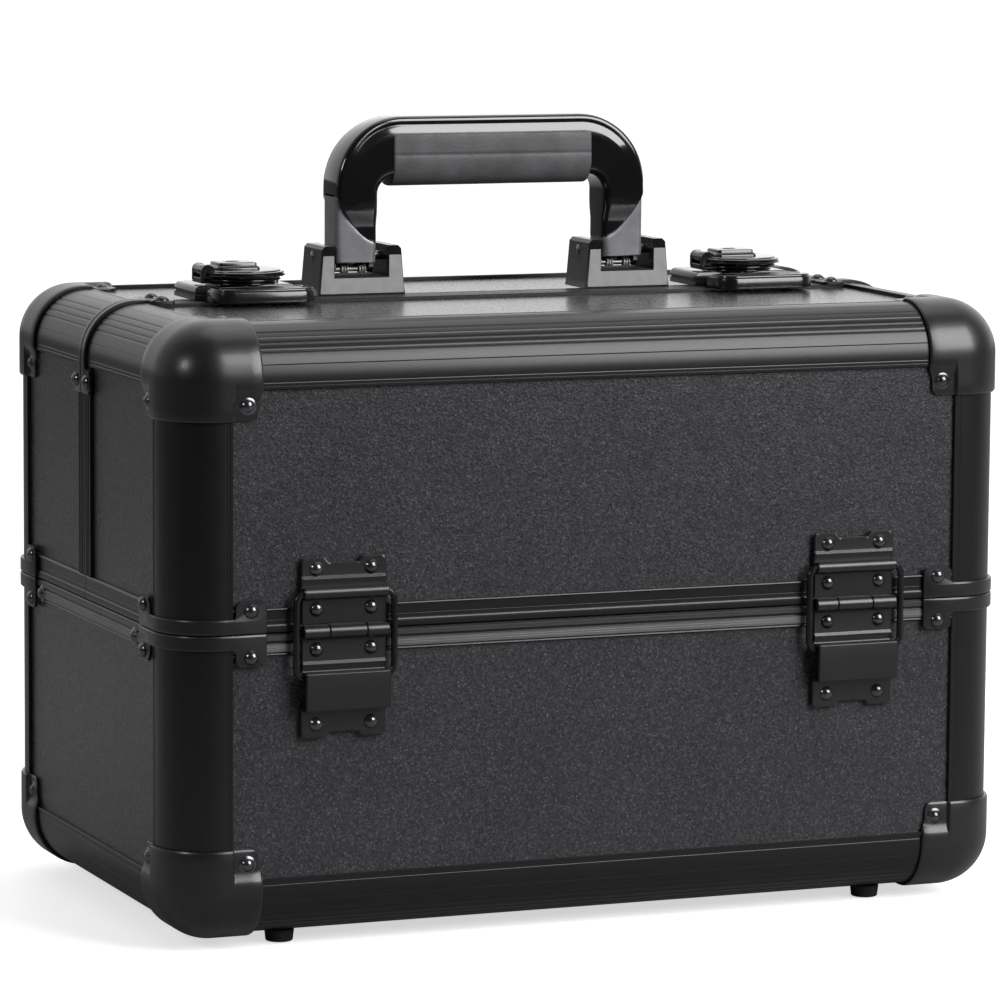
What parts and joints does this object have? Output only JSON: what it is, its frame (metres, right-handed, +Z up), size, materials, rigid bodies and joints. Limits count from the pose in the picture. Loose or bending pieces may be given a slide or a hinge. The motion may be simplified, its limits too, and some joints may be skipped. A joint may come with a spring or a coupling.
{
  "type": "makeup train case",
  "caption": "Hard-sided train case with a framed base box, two outward-opening half lids, stay-ring hinges, cantilever trays, folding handle and turn latches.",
  "frame": {"origin": "centre of the case footprint on the plane the four rubber feet stand on", "axes": "+X to the right seen from the front, +Y to the back, +Z up; the front faces -Y"},
  "size_m": [0.3796, 0.237, 0.3305],
  "materials": {
    "textured_panel": "pebbled satin laminate with a fine sparkle",
    "lining": "black flocked foam",
    "satin_profile": "satin black anodised extrusion",
    "pressed_black": "satin black paint",
    "glossy_rivet": "gloss black domed heads",
    "rubber": "matte black",
    "zinc_steel": "zinc plated",
    "ring_wire": "satin black wire",
    "gloss_latch": "gloss black lacquered zinc casting",
    "key_metal": "black lacquered plug",
    "bracket_gloss": "gloss black casting",
    "handle_gloss": "high gloss black",
    "grip_rubber": "fine grained soft grip",
    "tray_plastic": "black moulded tray"
  },
  "bodies": {
    "base": {"base_long_panels": "textured_panel", "base_side_panels": "textured_panel", "base_bottom_panel": "textured_panel", "base_lining": "lining", "base_edge_profiles": "satin_profile", "base_belt_rails": "satin_profile", "base_ball_corners": "pressed_black", "base_corner_straps": "pressed_black", "base_rivets": "glossy_rivet", "rubber_feet": "rubber", "base_hinge_plates": "pressed_black", "tray_brackets": "zinc_steel"},
    "front_lid": {"front_lid_front_panel": "textured_panel", "front_lid_top_panel": "textured_panel", "front_lid_side_panels": "textured_panel", "front_lid_lining": "lining", "front_lid_edge_profiles": "satin_profile", "front_lid_rims": "satin_profile", "front_lid_ball_corners": "pressed_black", "front_lid_straps": "pressed_black", "front_lid_rivets": "glossy_rivet", "front_hinge_plates": "pressed_black", "front_hinge_pins": "zinc_steel", "latch_strikes": "gloss_latch"},
    "rear_lid": {"rear_lid_rear_panel": "textured_panel", "rear_lid_top_panel": "textured_panel", "rear_lid_side_panels": "textured_panel", "rear_lid_lining": "lining", "rear_lid_edge_profiles": "satin_profile", "rear_lid_rims": "satin_profile", "rear_lid_ball_corners": "pressed_black", "rear_lid_straps": "pressed_black", "rear_lid_rivets": "glossy_rivet", "rear_hinge_plates": "pressed_black", "rear_hinge_pins": "zinc_steel", "latch_bases": "gloss_latch", "handle_brackets": "bracket_gloss", "handle_pins": "zinc_steel"},
    "front_rings": {"front_stay_rings": "ring_wire"},
    "rear_rings": {"rear_stay_rings": "ring_wire"},
    "handle": {"handle_frame": "handle_gloss", "handle_grip": "grip_rubber", "handle_springs": "zinc_steel"},
    "rotor_left": {"latch_rotor_left": "gloss_latch"},
    "rotor_right": {"latch_rotor_right": "gloss_latch"},
    "flap_left": {"latch_flap_left": "gloss_latch"},
    "flap_right": {"latch_flap_right": "gloss_latch"},
    "key_left": {"key_plug_left": "key_metal"},
    "key_right": {"key_plug_right": "key_metal"},
    "front_arms_inner": {"front_inner_arms": "zinc_steel"},
    "front_arms_outer": {"front_outer_arms": "zinc_steel"},
    "rear_arms_inner": {"rear_inner_arms": "zinc_steel"},
    "rear_arms_outer": {"rear_outer_arms": "zinc_steel"},
    "front_tray_lower": {"front_lower_tray": "tray_plastic"},
    "front_tray_upper": {"front_upper_tray": "tray_plastic"},
    "rear_tray_lower": {"rear_lower_tray": "tray_plastic"},
    "rear_tray_upper": {"rear_upper_tray": "tray_plastic"},
    "front_links": {"front_lid_links": "zinc_steel"},
    "rear_links": {"rear_lid_links": "zinc_steel"}
  },
  "joints": [
    {"name": "front_lid_hinge", "type": "hinge", "parent": "base", "child": "front_lid", "pos_m": [0, -0.114, 0.131], "axis": [1, 0, 0], "range_deg": [0, 90]},
    {"name": "front_ring_swing", "type": "hinge", "parent": "front_lid", "child": "front_rings", "pos_m": [0, -0.11259, 0.14601], "axis": [1, 0, 0], "range_deg": [-60, 0]},
    {"name": "front_inner_arm_swing", "type": "hinge", "parent": "base", "child": "front_arms_inner", "pos_m": [0, -0.062, 0.125], "axis": [1, 0, 0], "range_deg": [0, 53]},
    {"name": "front_outer_arm_swing", "type": "hinge", "parent": "base", "child": "front_arms_outer", "pos_m": [0, -0.087, 0.125], "axis": [1, 0, 0], "range_deg": [0, 53]},
    {"name": "front_lower_tray_level", "type": "hinge", "parent": "front_arms_inner", "child": "front_tray_lower", "pos_m": [0, -0.04639, 0.157], "axis": [1, 0, 0], "range_deg": [-53, 0]},
    {"name": "front_upper_tray_level", "type": "hinge", "parent": "front_arms_inner", "child": "front_tray_upper", "pos_m": [0, -0.02396, 0.203], "axis": [1, 0, 0], "range_deg": [-53, 0]},
    {"name": "front_link_swing", "type": "hinge", "parent": "front_arms_inner", "child": "front_links", "pos_m": [0, -0.04254, 0.16491], "axis": [1, 0, 0], "range_deg": [-60, 0]},
    {"name": "rear_lid_hinge", "type": "hinge", "parent": "base", "child": "rear_lid", "pos_m": [0, 0.114, 0.131], "axis": [-1, 0, 0], "range_deg": [0, 90]},
    {"name": "rear_ring_swing", "type": "hinge", "parent": "rear_lid", "child": "rear_rings", "pos_m": [0, 0.11259, 0.14601], "axis": [-1, 0, 0], "range_deg": [-60, 0]},
    {"name": "rear_inner_arm_swing", "type": "hinge", "parent": "base", "child": "rear_arms_inner", "pos_m": [0, 0.0654, 0.125], "axis": [-1, 0, 0], "range_deg": [0, 53]},
    {"name": "rear_outer_arm_swing", "type": "hinge", "parent": "base", "child": "rear_arms_outer", "pos_m": [0, 0.0904, 0.125], "axis": [-1, 0, 0], "range_deg": [0, 53]},
    {"name": "rear_lower_tray_level", "type": "hinge", "parent": "rear_arms_inner", "child": "rear_tray_lower", "pos_m": [0, 0.04979, 0.157], "axis": [-1, 0, 0], "range_deg": [-53, 0]},
    {"name": "rear_upper_tray_level", "type": "hinge", "parent": "rear_arms_inner", "child": "rear_tray_upper", "pos_m": [0, 0.02736, 0.203], "axis": [-1, 0, 0], "range_deg": [-53, 0]},
    {"name": "rear_link_swing", "type": "hinge", "parent": "rear_arms_inner", "child": "rear_links", "pos_m": [0, 0.04594, 0.16491], "axis": [-1, 0, 0], "range_deg": [-60, 0]},
    {"name": "handle_fold", "type": "hinge", "parent": "rear_lid", "child": "handle", "pos_m": [0, 0.02, 0.271], "axis": [1, 0, 0], "range_deg": [-90, 90]},
    {"name": "latch_turn_left", "type": "hinge", "parent": "rear_lid", "child": "rotor_left", "pos_m": [-0.115, 0.012, 0.263], "axis": [0, 0, 1], "range_deg": [0, 180]},
    {"name": "flap_lift_left", "type": "hinge", "parent": "rotor_left", "child": "flap_left", "pos_m": [-0.1322, 0.012, 0.2674], "axis": [0, -1, 0], "range_deg": [0, 90]},
    {"name": "key_turn_left", "type": "hinge", "parent": "flap_left", "child": "key_left", "pos_m": [-0.119, 0.012, 0.268], "axis": [0, 0, 1], "range_deg": [0, 90]},
    {"name": "latch_turn_right", "type": "hinge", "parent": "rear_lid", "child": "rotor_right", "pos_m": [0.115, 0.012, 0.263], "axis": [0, 0, 1], "range_deg": [0, 180]},
    {"name": "flap_lift_right", "type": "hinge", "parent": "rotor_right", "child": "flap_right", "pos_m": [0.0978, 0.012, 0.2674], "axis": [0, -1, 0], "range_deg": [0, 90]},
    {"name": "key_turn_right", "type": "hinge", "parent": "flap_right", "child": "key_right", "pos_m": [0.111, 0.012, 0.268], "axis": [0, 0, 1], "range_deg": [0, 90]}
  ],
  "couplings": [
    {"joint": "front_ring_swing", "follows": "front_lid_hinge", "ratio": -0.647},
    {"joint": "front_inner_arm_swing", "follows": "front_lid_hinge", "ratio": 0.57778},
    {"joint": "front_outer_arm_swing", "follows": "front_lid_hinge", "ratio": 0.57778},
    {"joint": "front_lower_tray_level", "follows": "front_lid_hinge", "ratio": -0.57778},
    {"joint": "front_upper_tray_level", "follows": "front_lid_hinge", "ratio": -0.57778},
    {"joint": "front_link_swing", "follows": "front_lid_hinge", "ratio": -0.64778},
    {"joint": "rear_ring_swing", "follows": "rear_lid_hinge", "ratio": -0.647},
    {"joint": "rear_inner_arm_swing", "follows": "rear_lid_hinge", "ratio": 0.57778},
    {"joint": "rear_outer_arm_swing", "follows": "rear_lid_hinge", "ratio": 0.57778},
    {"joint": "rear_lower_tray_level", "follows": "rear_lid_hinge", "ratio": -0.57778},
    {"joint": "rear_upper_tray_level", "follows": "rear_lid_hinge", "ratio": -0.57778},
    {"joint": "rear_link_swing", "follows": "rear_lid_hinge", "ratio": -0.65478}
  ]
}
